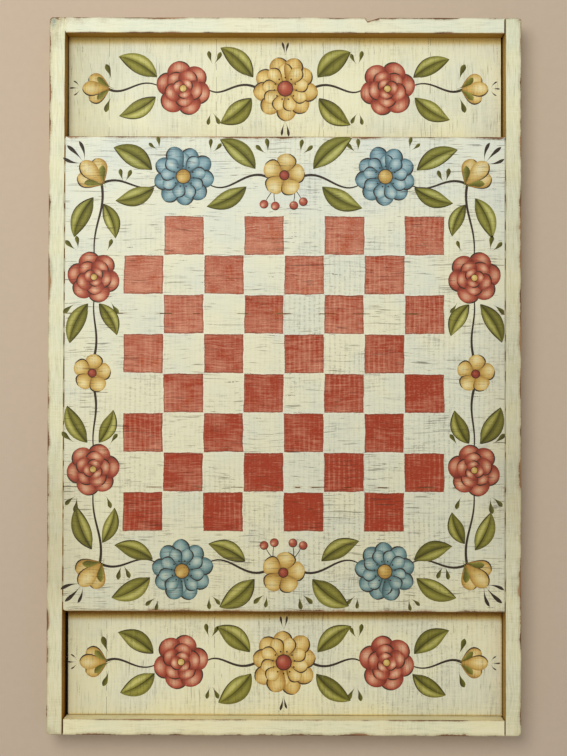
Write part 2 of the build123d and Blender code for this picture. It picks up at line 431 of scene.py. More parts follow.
def red_squares(shader, place, parts, colour):
    """Brick-red squares brushed on by hand, each with a brown line round it. The top left stays cream."""
    slow = shader.noise(place, 16.0, detail=1.0, output="Color")
    quick = shader.noise(place, 1.6, detail=1.0, output="Color")
    drift = shader.times(slow, (SQUARE_WOBBLE, SQUARE_WOBBLE, 0.0))
    ragged = shader.times(quick, (SQUARE_RAGGED, SQUARE_RAGGED, 0.0))
    mean_stray = (SQUARE_WOBBLE + SQUARE_RAGGED) / 2
    corner = (-mean_stray - grid_left, -mean_stray - grid_top, 0.0)
    moved = shader.shifted(shader.shifted(place, shader.shifted(drift, ragged)), corner)
    u, v, _ = shader.split(shader.times(moved, (1 / SQUARE_X, -1 / SQUARE_Y, 0.0)))
    column = shader.math("FLOOR", u)
    row = shader.math("FLOOR", v)
    odd = shader.math("PINGPONG", column + row, 1.0)
    half = SQUARES / 2
    inside = shader.math("COMPARE", column, half - 0.5, half)
    inside = inside * shader.math("COMPARE", row, half - 0.5, half)
    to_side = SQUARE_X * shader.math("PINGPONG", u, 0.5)
    to_end = SQUARE_Y * shader.math("PINGPONG", v, 0.5)
    border = shader.math("MINIMUM", to_side, to_end)

    cell = shader.field("ShaderNodeCombineXYZ", {0: column, 1: row})
    chance = shader.field("ShaderNodeTexWhiteNoise", {"Vector": cell}, "Value", noise_dimensions="3D")
    hairs = (parts["hairs"] - 0.5) * (0.20 * parts["woven"] + 0.10)
    streaks = 0.48 * parts["fibres"] + 0.34 * parts["fine"] + hairs + 0.07
    blotches = shader.noise(place, 11.0, detail=3.0, shift=(0.0, 400.0))
    # Painted shade: the red deepens down the rows and towards the right, away from the lamp, besides a
    # random tone for each square.
    depth = 1.12 + 0.084 * row + 0.036 * column + 0.12 * chance - 2.3 * streaks + 0.8 * blotches
    depth = depth - 0.18 * shader.math("FRACT", v) - 0.28 * parts["columns"] - 0.12 * parts["rows"]
    red = shader.mix(depth, RED_LIGHT, RED_DEEP)
    red = shader.tint(shader.band(blotches, 0.56, 0.70), red, RED_ORANGE)
    thin = 0.24 * shader.band(streaks, 0.56, 0.70) + 0.34 * parts["flecks"]
    under = shader.mix(0.11 * row + 0.10, colour, RED_LIGHT)
    red = shader.mix(thin * (1.0 - 0.08 * row), red, under)
    lined = 0.66 * shader.band(border, 1.7, 0.7) * shader.band(parts["speckle"], 0.20, 0.50)
    red = shader.mix(lined, red, RED_LINE)

    outermost = shader.math("MAXIMUM", abs(u - half), abs(v - half))
    halo = shader.band(border, 1.1, 0.2) * inside * shader.band(outermost, half, half - 0.04)
    colour = shader.tint(halo, colour, HALO_TINT)
    return shader.mix(odd * inside * shader.band(border, 0.22, 0.50), colour, red)


def ground_paint(shader, name):
    """A surface's paint before wear: each point's place, the shared fields and the colour."""
    look = LOOKS[name]
    place = shader.place()
    parts = paint_parts(shader, place, look)
    colour = darkened(shader, cream_paint(shader, parts, look), place, look)
    if name == "plank":
        colour = red_squares(shader, place, parts, colour)
    return place, parts, colour


def under_shade_and_glazing(shader, colour, amount):
    """Colour under glazing and painted shade, golden where it is thin and brown where it is thick."""
    colour = shader.tint(shader.band(amount, 0.0, 0.55), colour, SHADE_AND_GLAZING_GOLD)
    return shader.tint(shader.band(amount, 0.35, 1.0), colour, SHADE_AND_GLAZING_BROWN)


def aged_and_shaded(shader, colour, place, parts, look, edge, shade_and_glazing):
    """Brown glazing and painted shade in the corners, painted shadow in the gaps, paint rubbed off the
    edges, and dark cracks along the grain.
    """
    _, _, z = shader.split(place)
    # Painted shade: the glazing darkens and warms the faces turned from the lamp and the floors beneath the
    # walls.
    colour = under_shade_and_glazing(shader, colour, shade_and_glazing * (0.5 * parts["speckle"] + 0.78))
    colour = shader.tint(shader.band(shade_and_glazing, 1.1, 1.4), colour, SHADE_AND_GLAZING_BROWN)
    limit = 5.2 * parts["patches"] + 1.3 * parts["speckle"] + 0.5 * parts["smudge"] - 3.05
    worn = limit - edge
    rubbed = shader.band(worn, -0.15, 0.15)
    colour = shader.mix(0.42 * shader.band(worn, -1.7, 0.1), colour, STAIN)
    primed = shader.attribute("primer") * shader.band(parts["speckle"], 0.30, 0.52)
    colour = shader.mix(primed, colour, UNDERCOAT)
    colour = shader.mix(rubbed, colour, bare_wood(shader, place, look["grain"]))
    # Painted shadow: near black on the walls below the trays' floors, in the gaps beside the floor boards.
    painted_gap_shadow = shader.band(z, floor_top + 0.2, floor_top - 1.5) * shader.band(shade_and_glazing, 0.05, 0.2)
    colour = shader.mix(0.9 * painted_gap_shadow, colour, UMBER)
    return shader.mix(0.66 * parts["dark"], colour, UMBER), rubbed


def paint_finish(shader, colour, parts, rubbed, relief):
    """The paint's material. Its relief is brush marks, cracks and the step down to bare wood."""
    height = 0.5 * parts["fibres"] + 0.25 * parts["hairs"] + 0.2 * parts["fine"]
    height = height - 0.9 * parts["dark"] - 0.35 * rubbed
    return shader.finish(colour, 0.28 * parts["patches"] + 0.50, height, relief)


def tray_shade_and_glazing(shader, place):
    """The glazing and painted shade on the floors of both trays, deepest as the painted shadow below each
    upper wall, and each place's distance from its tray's walls.
    """
    x, y, _ = shader.split(place)
    from_side = inner_right - abs(x)
    shade_and_glazing, edge = 0.0, 100.0
    for low_y, high_y, reach, thick in TRAYS:
        from_low = shader.math("MINIMUM", from_side, y - low_y)
        from_high = high_y - y
        inset = shader.math("MINIMUM", from_low, from_high)
        # Painted shadow below the upper wall, and thinner painted shade along the other walls and in the
        # corners.
        wall_shade_and_glazing = thick * shader.band(from_high, reach, 0.06 * reach) + 0.32 * shader.band(from_low, 2.2, 0.4)
        wall_shade_and_glazing = wall_shade_and_glazing + 0.08 * shader.band(inset, 16.0, 0.0)
        shade_and_glazing = shade_and_glazing + wall_shade_and_glazing * shader.band(inset, -2.0, -1.0)
        edge = shader.math("MINIMUM", edge, abs(inset))
    return shade_and_glazing, edge


def shaded_side(shader, place, colour):
    """The trays' left ends are greyer, most of all the upper one's."""
    x, y, _ = shader.split(place)
    share = shader.band(x, inner_left + 60.0, inner_left) * (0.45 * shader.band(y, 0.0, 100.0) + 0.55)
    return shader.tint(share, colour, SIDE_TINT)


def board_material(name):
    """The worn paint of the planks or of the rails, with glazing and painted shade on its brown faces."""
    shader = Shader(f"{name}_paint")
    place, parts, colour = ground_paint(shader, name)
    edge, shade_and_glazing = shader.attribute("edge"), shader.attribute("shade_and_glazing")
    colour, rubbed = aged_and_shaded(shader, colour, place, parts, LOOKS[name], edge, shade_and_glazing)
    return paint_finish(shader, colour, parts, rubbed, PAINT_RELIEF)


def tray_material():
    """The floor boards: painted where they floor the trays, and old bare wood on their backs and edges,
    with painted shade making the edges in the joints near black.
    """
    shader = Shader("tray_paint")
    place, parts, colour = ground_paint(shader, "tray")
    colour = shaded_side(shader, place, colour)
    shade_and_glazing, edge = tray_shade_and_glazing(shader, place)
    colour, rubbed = aged_and_shaded(shader, colour, place, parts, LOOKS["tray"], 1.3 * edge + 0.5, shade_and_glazing)
    _, _, z = shader.split(place)
    backed = shader.band(z, floor_top - 0.2, floor_top - 0.6)
    hidden = backed * shader.band(z, floor_bottom + 0.4, floor_bottom + 0.8)
    stain = shader.band(parts["broad"], 0.35, 0.65)
    back = shader.mix(shader.band(parts["fibres"], 0.40, 0.66), OLD_WOOD, WOOD_DARK)
    back = shader.mix(0.5 * stain, back, WOOD_LIGHT)
    colour = shader.mix(backed, colour, back)
    # Painted shade: the edges inside the joints are near black.
    colour = shader.mix(0.8 * hidden, colour, UMBER)
    return paint_finish(shader, colour, parts, rubbed, PAINT_RELIEF)


def ornament_material(name):
    """Thin paint over the cream, or the squares, of what it lies on."""
    shader = Shader(f"{name}_ornament_paint")
    place, parts, ground = ground_paint(shader, name)
    streaks = 0.40 * parts["fibres"] + 0.30 * parts["fine"] + 0.30 * parts["hairs"]
    pigment = shader.attribute("pigment", "Color")
    pigment = shader.mix(0.34 * shader.band(streaks, 0.49, 0.36), pigment, UMBER)
    pigment = shader.tint(shader.band(streaks, 0.52, 0.66), pigment, BRISTLE_TINT)
    # The same painted shade towards the lower end, and the same darker sides, as on the ground.
    pigment = darkened(shader, pigment, place, LOOKS[name])
    cover = shader.attribute("cover")
    thin = 0.26 * shader.band(streaks, 0.53, 0.70) * shader.band(cover, 0.0, 0.2)
    colour = shader.mix(cover - thin, ground, pigment)
    if name == "tray":
        # Painted shade: the same glazing, painted shadow and greyer left ends as on the tray floor beneath.
        shade_and_glazing, _ = tray_shade_and_glazing(shader, place)
        colour = under_shade_and_glazing(shader, shaded_side(shader, place, colour), shade_and_glazing)
    colour = shader.mix(0.6 * parts["dark"], colour, UMBER)
    return paint_finish(shader, colour, parts, 0.0, ORNAMENT_RELIEF)


def nail_material():
    """Dark steel with rust."""
    shader = Shader("rusted_steel")
    rust = shader.noise(shader.place(), 0.8, detail=3.0)
    colour = shader.mix(shader.band(rust, 0.42, 0.6), STEEL, RUST)
    shader.surface.inputs["Metallic"].default_value = 0.6
    return shader.finish(colour, 0.40 * rust + 0.45, rust, 0.05, specular=0.4)


def floor_material():
    shader = Shader("studio_floor")
    grit = shader.noise(shader.place(), 6.0)
    colour = shader.mix(shader.band(grit, 0.3, 0.7), FLOOR_COLOUR, [1.02 * part for part in FLOOR_COLOUR])
    return shader.finish(colour, 0.9, grit, 0.02, specular=0.1)


# Wood pieces.

NEAR_EDGE = (0.0, 0.25, 0.55, 0.9, 1.4, 2.1, 3.0, 4.2)
SKIN = 0.3  # points less far than this from a face belong to it
WAVE = 0.3  # how far planing left a face uneven, and how far in from it the wood follows
WAVE_REACH = 6.0
NAIL_HEAD = 1.3
NAIL_HOLE = 1.4
NAIL_HOLE_SIDES = 20
NAIL_HOLE_ENDS = (-0.12, 3.0)  # from the nail's head, outwards
# The chip in the upper end rail: where it is deepest, how far it reaches to each side, down and back
# into the rail, and how far it pushes the rail's face in.
CHIP = {"x": 65.2, "left": 1.8, "right": 9.4, "depth": 7.0, "back": 7.0, "width": 3.5}
CHIP_POINTS = 25
KNOCK_DEPTH = 7.0
# Places on the rim where the paint is knocked off: right, up, and how far it reaches right and up.
KNOCKS = (
    (-179.0, 285.0, 17.0, 5.0),
    (-189.0, 279.0, 7.0, 12.0),
    (-174.5, 284.0, 4.0, 5.0),
    (-146.0, 284.0, 5.0, 4.0),
    (-187.0, 251.0, 2.5, 4.0),
    (14.0, 284.0, 5.0, 3.0),
    (187.0, 283.0, 4.0, 4.0),
    (187.0, 118.0, 2.5, 5.0),
    (-187.0, -284.0, 8.0, 8.0),
    (-70.0, -284.0, 7.0, 3.5),
    (187.0, -284.0, 7.0, 7.0),
    (187.0, -170.0, 2.2, 5.0),
    (187.0, -90.0, 2.2, 7.0),
    (-187.0, -96.0, 2.5, 5.0),
)
# Where grey-blue primer shows at the upper left corner: right, up, and how far it reaches right and up.
PRIMER = (-184.2, 280.0, 2.8, 5.5)


def spread(low, high, spacing):
    """Coordinates from low to high, close together near both ends."""
    near = np.array([gap for gap in NEAR_EDGE if gap < (high - low) / 2.5])
    start, stop = low + near[-1], high - near[-1]
    count = max(2, round((stop - start) / spacing) + 1)
    return np.concatenate([low + near[:-1], np.linspace(start, stop, count), (high - near[:-1])[::-1]])


def box_surface(xs, ys, zs):
    """Points and quads of a closed box whose faces are divided at these coordinates."""
    shape = (len(xs), len(ys), len(zs))
    grid = np.indices(shape)
    last = np.array(shape).reshape(3, 1, 1, 1) - 1
    skin = ((grid == 0) | (grid == last)).any(0)
    index = np.full(shape, -1)
    index[skin] = np.arange(skin.sum())
    points = np.stack([values[grid[axis][skin]] for axis, values in enumerate((xs, ys, zs))], 1)
    quads = []
    for axis in range(3):
        for side in (0, -1):
            sheet = index.take(side, axis)
            corners = (sheet[:-1, :-1], sheet[1:, :-1], sheet[1:, 1:], sheet[:-1, 1:])
            faces = np.stack(corners, -1).reshape(-1, 4)
            inward = (side == 0) != (axis == 1)
            quads.append(faces[:, ::-1] if inward else faces)
    return points, np.concatenate(quads)


def hashed(cells, seed):
    """A fixed random number from 0 to 1 for each whole-numbered cell, mixed from large primes."""
    cells = cells.astype(np.uint64)
    mixed = cells[:, 0] * np.uint64(73856093) ^ cells[:, 1] * np.uint64(19349663)
    mixed ^= cells[:, 2] * np.uint64(83492791) ^ np.uint64(seed * 7919 + 17)
    for shift in (13, 7, 17):
        mixed ^= (mixed >> np.uint64(shift)) * np.uint64(2654435761)
        mixed ^= mixed << np.uint64(shift // 2 + 1)
    return (mixed >> np.uint64(20)).astype(float) % 65536 / 65536


def smooth_noise(points, feature, seed):
    """Smooth noise from -1 to 1. feature is its size in millimetres, one number or one for each axis."""
    scaled = points / np.array(feature)
    cells = np.floor(scaled).astype(np.int64)
    part = scaled - cells
    part = part * part * (3 - 2 * part)
    total = np.zeros(len(points))
    for corner in np.ndindex(2, 2, 2):
        weight = np.where(corner, part, 1 - part).prod(1)
        total += weight * hashed(cells + np.array(corner), seed)
    return 2 * total - 1


def face_distances(points, low, high):
    """Each point's distance to the six faces of a box, in the order of FACES."""
    return np.stack([points - low, high - points], 2).reshape(len(points), 6)


def edge_table(default, special):
    """A 6 by 6 table of a value for each edge, named by its two faces."""
    table = np.full((6, 6), float(default))
    for (first, second), value in special.items():
        i, j = FACES.index(first), FACES.index(second)
        table[i, j] = table[j, i] = value
    return table


def eased(points, low, high, radius):
    """Points of a box's surface moved onto rounded edges. radius is one for each point."""
    inner = np.clip(points, low + radius[:, None], high - radius[:, None])
    out = points - inner
    length = np.linalg.norm(out, axis=1)
    largest = np.abs(out).max(1)
    scale = np.divide(largest, length, out=np.ones_like(length), where=length > 0)
    return inner + out * scale[:, None]


def rounded_corner(points, corner, inward, radius):
    """Points moved so that one upright corner of the plan is round."""
    centre = np.array(corner) + np.array(inward) * radius
    out = (points[:, :2] - centre) * -np.array(inward)
    inside = (out > 0).all(1)
    largest = out[inside].max(1)
    length = np.linalg.norm(out[inside], axis=1)
    moved = points.copy()
    moved[inside, :2] = centre - np.array(inward) * out[inside] * (largest / length)[:, None]
    return moved


def worn_radius(points, base, seed):
    """An edge's radius at each point: uneven, with a few dents."""
    uneven = 1 + 0.45 * smooth_noise(points, 11.0, seed) + 0.3 * smooth_noise(points, 3.6, seed + 1)
    dents = np.clip(smooth_noise(points, 6.5, seed + 2) - 0.55, 0, 1) * 5.0
    return base * (uneven + dents)


def set_attribute(mesh, name, values):
    layer = mesh.attributes.new(name, "FLOAT", "POINT")
    layer.data.foreach_set("value", np.asarray(values, np.float32))


def mesh_object(name, points, faces, material, smooth=True):
    """A new object in the scene, from points in millimetres."""
    mesh = bpy.data.meshes.new(name)
    mesh.from_pydata((np.asarray(points) * MM).tolist(), [], [list(map(int, face)) for face in faces])
    mesh.materials.append(material)
    if smooth:
        mesh.shade_smooth()
    piece = bpy.data.objects.new(name, mesh)
    bpy.context.collection.objects.link(piece)
    return piece


def nail_heads(node, axis, side):
    """The middle of each nail's head, on the side that the nails were driven from."""
    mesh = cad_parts[node].data
    points = np.empty(len(mesh.vertices) * 3)
    mesh.vertices.foreach_get("co", points)
    points = points.reshape(-1, 3) / MM
    end = points[:, axis].max() if side > 0 else points[:, axis].min()
    rims = []
    for point in points[np.abs(points[:, axis] - end) < 0.05]:
        near = [rim for rim in rims if np.linalg.norm(rim[0] - point) < NAIL_HEAD * 3]
        if near:
            near[0].append(point)
        else:
            rims.append([point])
    return [(np.min(rim, 0) + np.max(rim, 0)) / 2 for rim in rims]


def cut_nail_holes(piece, heads, axis, side):
    """Holes down to the heads of the nails that were set below the surface."""
    count = NAIL_HOLE_SIDES
    turns = np.linspace(0, 2 * math.pi, count, endpoint=False)
    rim = np.zeros((count, 3))
    rim[:, [other for other in range(3) if other != axis]] = np.stack((np.cos(turns), np.sin(turns)), 1)
    points, faces = [], []
    for head in heads:
        first = len(points)
        for out in NAIL_HOLE_ENDS:
            end = np.array(head)
            end[axis] += side * out
            points.extend(end + NAIL_HOLE * rim)
        faces.append([first + i for i in range(count)])
        faces.append([first + count + i for i in reversed(range(count))])
        for i in range(count):
            after = (i + 1) % count
            faces.append([first + i, first + count + i, first + count + after, first + after])
    cutter = mesh_object("nail_hole_cutter", points, faces, piece.data.materials[0])
    if (side < 0) != (axis == 1):
        cutter.data.flip_normals()
    # Inside the holes: no wear, full glazing and painted shade, and no primer.
    for attribute, value in (("edge", 0.0), ("shade_and_glazing", 1.0), ("primer", 0.0)):
        set_attribute(cutter.data, attribute, np.full(len(points), value))
    cut = piece.modifiers.new("nail_holes", "BOOLEAN")
    cut.operation = "DIFFERENCE"
    cut.solver = "EXACT"
    cut.object = cutter
    whole = piece.evaluated_get(bpy.context.evaluated_depsgraph_get())
    mesh = bpy.data.meshes.new_from_object(whole)
    piece.modifiers.clear()
    piece.data = mesh
    bpy.data.objects.remove(cutter)


def chip_share(points, depth, chip):
    """How far into the chip each point lies: 1 at its deepest place and 0 outside it."""
    beside = points[:, 0] - chip["x"]
    away = np.where(beside < 0, -beside / chip["left"], beside / chip["right"])
    return np.clip(1 - away, 0, 1) * np.clip(1 - depth / chip["depth"], 0, 1)


def knocked(edge, points, depth):
    """Distances to the edge, made less where the rim is knocked."""
    for x, y, reach_x, reach_y in KNOCKS:
        scaled = np.stack(((points[:, 0] - x) / reach_x, (points[:, 1] - y) / reach_y, depth / KNOCK_DEPTH))
        edge = np.minimum(edge, 1.1 * np.linalg.norm(scaled, axis=0))
    return edge


def primer_share(points, depth):
    """How much primer shows at each point."""
    x, y, reach_x, reach_y = PRIMER
    away = np.hypot((points[:, 0] - x) / reach_x, (points[:, 1] - y) / reach_y) + depth
    return np.clip(2.2 - 2.2 * away, 0, 1)


def shade_and_glazing_share(distances, share_down, shades_and_glazing):
    """The glazing and painted shade on the brown faces, a little thicker low down."""
    shade_and_glazing = np.zeros(len(distances))
    for face, strength in shades_and_glazing.items():
        own = distances[:, FACES.index(face)] < SKIN
        shade_and_glazing = np.maximum(shade_and_glazing, strength * own * (0.9 + 0.2 * np.clip(share_down, 0, 1)))
    return shade_and_glazing


def worn_slab(
    name, low, high, material, spacing, radii, wear, shades_and_glazing, seed, corners=(), wavy=(), chip=None,
):
    """A closed board with worn edges.

    radii and wear are edge tables, glazes gives the glazing and painted shade on each of its brown faces,
    corners are rounded in plan, and wavy names the faces that are planed a little unevenly.
    """
    places = [spread(a, b, spacing[axis]) for axis, (a, b) in enumerate(zip(low, high))]
    if chip:
        start, stop = chip["x"] - chip["left"] - 1, chip["x"] + chip["right"] + 1
        places[0] = np.union1d(places[0], np.linspace(start, stop, CHIP_POINTS))
    points, faces = box_surface(*places)
    depth = high[2] - points[:, 2]
    distances = face_distances(points, low, high)
    order = distances.argsort(1)
    first, second = order[:, 0], order[:, 1]
    edge = np.take_along_axis(distances, order[:, 1:2], 1)[:, 0] / wear[first, second]
    moved = eased(points, low, high, worn_radius(points, radii[first, second], seed))
    for corner, inward, radius in corners:
        moved = rounded_corner(moved, corner, inward, radius)
    for number, face in enumerate(wavy):
        axis = AXES.index(face[1])
        outward = np.sign(float(face[0] + "1"))
        share = np.clip(1 - distances[:, FACES.index(face)] / WAVE_REACH, 0, 1)
        uneven = 0.35 * smooth_noise(points, 52.0, seed + 5 + number)
        uneven += 0.15 * smooth_noise(points, 9.0, seed)
        moved[:, axis] -= outward * WAVE * share * np.clip(0.5 + uneven, 0, 1)
    if chip:
        share = chip_share(points, depth, chip)
        inwards = distances[:, FACES.index("+y")]
        moved[:, 1] -= chip["width"] * share * np.clip(1 - inwards / chip["back"], 0, 1)
        edge = edge - 3.0 * share * (inwards < SKIN) - 0.8 * (share > 0)
    piece = mesh_object(name, moved, faces, material)
    set_attribute(piece.data, "edge", knocked(edge, points, depth))
    set_attribute(piece.data, "shade_and_glazing", shade_and_glazing_share(distances, depth / (high[2] - low[2]), shades_and_glazing))
    set_attribute(piece.data, "primer", primer_share(points, depth))
    return piece


def add_planks(material):
    for number, node in enumerate(PLANKS):
        low, high = wooden_box(node)
        radii = {("-x", "+z"): 0.25, ("+x", "+z"): 0.2, ("-y", "+z"): 0.25, ("+y", "+z"): 0.25}
        wear = {("-x", "+z"): 0.3, ("+x", "+z"): 0.2, ("-y", "+z"): 0.3, ("+y", "+z"): 0.3}
        shades_and_glazing = {}
        corners = []
        # The panel's lower end face turns from the lamp, so it gets more glazing and painted shade than its
        # upper one.
        if high[1] == panel_top:
            radii["+y", "+z"], wear["+y", "+z"], shades_and_glazing["+y"] = 0.7, 1.4, 0.45
        if low[1] == panel_bottom:
            radii["-y", "+z"], wear["-y", "+z"], shades_and_glazing["-y"] = 0.7, 1.5, 1.5
            corners = [((low[0], low[1]), (1, 1), 2.6)]
        piece = worn_slab(
            f"{node}_worn", low, high, material, (2.6, 2.6, 3.0),
            edge_table(0.4, radii), edge_table(0.8, wear), shades_and_glazing, 20 + 10 * number, corners, tuple(shades_and_glazing),
        )
        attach(piece, "root")
        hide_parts(node)


def add_side_rails(material):
    for number, node in enumerate(SIDE_RAILS):
        low, high = wooden_box(node)
        side = 1 if low[0] > 0 else -1
        outer, inner = ("+x", "-x") if side > 0 else ("-x", "+x")
        outer_x = high[0] if side > 0 else low[0]
        radii = {(outer, "+z"): 0.9, (inner, "+z"): 0.25, ("-y", "+z"): 0.9, ("+y", "+z"): 0.9}
        wear = {(outer, "+z"): 1.4, (inner, "+z"): 0.4, ("-y", "+z"): 1.6, ("+y", "+z"): 1.1}
        # The left rail's inner face turns from the lamp, so it gets more painted shade than the right
        # one's; the bottoms get glazing.
        shades_and_glazing = {inner: 1.1 if side < 0 else 0.82, "-z": 1.0}
        corners = [((outer_x, y), (-side, -np.sign(y)), 3.0) for y in (low[1], high[1])]
        piece = worn_slab(
            f"{node}_worn", low, high, material, (2.6, 2.2, 3.0), edge_table(0.7, radii),
            edge_table(1.0, wear), shades_and_glazing, 60 + 10 * number, corners, (outer, "-y", "+y"),
        )
        hand = node.split("_")[0]
        nails = (f"{hand}_rail_nails", f"upper_{hand}_corner_nails", f"lower_{hand}_corner_nails")
        heads = [head for name in nails for head in nail_heads(name, 0, side)]
        cut_nail_holes(piece, heads, 0, side)
        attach(piece, "root")
        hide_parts(node)


def add_end_rails(material):
    for number, node in enumerate(END_RAILS):
        low, high = wooden_box(node)
        side = 1 if low[1] > 0 else -1
        outer, inner = ("+y", "-y") if side > 0 else ("-y", "+y")
        radii = {(outer, "+z"): 0.9, (inner, "+z"): 0.6, ("-x", "+z"): 0.2, ("+x", "+z"): 0.25}
        wear = {(inner, "+z"): 0.8, ("-x", "+z"): 0.3, ("+x", "+z"): 0.3}
        wear[outer, "+z"] = 1.1 if side > 0 else 1.7
        # The upper rail's inner face turns from the lamp and gets heavy painted shade; the lower one's gets
        # little.
        shades_and_glazing = {inner: 1.0 if side > 0 else 0.2, "-z": 1.0}
        piece = worn_slab(
            f"{node}_worn", low, high, material, (2.2, 2.6, 3.0), edge_table(0.7, radii),
            edge_table(1.0, wear), shades_and_glazing, 90 + 10 * number, (), (outer,), CHIP if side > 0 else None,
        )
        hand = node.split("_")[0]
        cut_nail_holes(piece, nail_heads(f"{hand}_rail_nails", 1, side), 1, side)
        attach(piece, "root")
        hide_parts(node)


def dress_nodes():
    """The CAD pieces that stay: the floor boards and the nails."""
    tray, nail = tray_material(), nail_material()
    for node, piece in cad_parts.items():
        if node.startswith("floor_board"):
            piece.material_slots[0].material = tray
        elif "nails" in node or "brads" in node:
            piece.material_slots[0].material = nail


# The ornament: common brush-stroke flowers, leaves and berries on a winding stem round the squares.

LEAF = ((0.050, 0.048, 0.002), (0.150, 0.138, 0.012), (0.34, 0.325, 0.060), (0.64, 0.62, 0.21))
BLUE = ((0.050, 0.105, 0.115), (0.145, 0.27, 0.295), (0.33, 0.47, 0.465), (0.67, 0.74, 0.62))
MUSTARD = ((0.34, 0.17, 0.025), (0.60, 0.39, 0.095), (0.75, 0.57, 0.22), (0.85, 0.76, 0.42))
RED = ((0.20, 0.025, 0.010), (0.43, 0.085, 0.042), (0.62, 0.26, 0.15), (0.86, 0.60, 0.40))
DARK = ((0.022, 0.014, 0.006), (0.035, 0.022, 0.012), (0.06, 0.04, 0.025), (0.10, 0.07, 0.045))
# A film's depth below its ground, what a step and a layer raise it by, and its least half width.
FILM_SUNK = 0.02
FILM_STEP = 0.0025
LAYER_STEP = 0.028
THINNEST = 0.05
LEAF_LAYER = 1.6
BERRY_LAYER = 2.2
FLOWER_LAYER = 3
# How well a stroke covers, and one that the grain doesn't show through.
COVER = 1.1
SOLID = 1.4

# Each ground is a surface to paint on: its height in millimetres and its look.
GROUNDS = {"plank": wood_top, "tray": floor_top, "side_rail": wood_top}


def ramp(colours, value):
    """Colours picked from dark, at 0, to light, at 1."""
    stops = np.linspace(0, 1, len(colours))
    channels = np.array(colours).T
    return np.stack([np.interp(np.clip(value, 0, 1), stops, channel) for channel in channels], -1)


def curve(*controls, count):
    """Points on a Bezier curve, closer together near its ends."""
    t = 0.5 - 0.5 * np.cos(np.linspace(0, math.pi, count))[:, None]
    points = [np.asarray(control, float) for control in controls]
    while len(points) > 1:
        points = [a * (1 - t) + b * t for a, b in zip(points, points[1:])]
    return points[0]


def direction(degrees):
    return np.array((math.cos(math.radians(degrees)), math.sin(math.radians(degrees))))


def shares_along(path):
    """How far along a path each of its points lies, from 0 to 1."""
    run = np.r_[0, np.hypot(*np.diff(path, axis=0).T).cumsum()]
    return run / run[-1]


def petal_width(path, half_width, fullest, blunt):
    """Half widths along a petal or leaf: none at both ends, most at the share fullest of its length."""
    power = math.log(0.5) / math.log(fullest)
    return half_width * np.sin(math.pi * shares_along(path) ** power) ** blunt


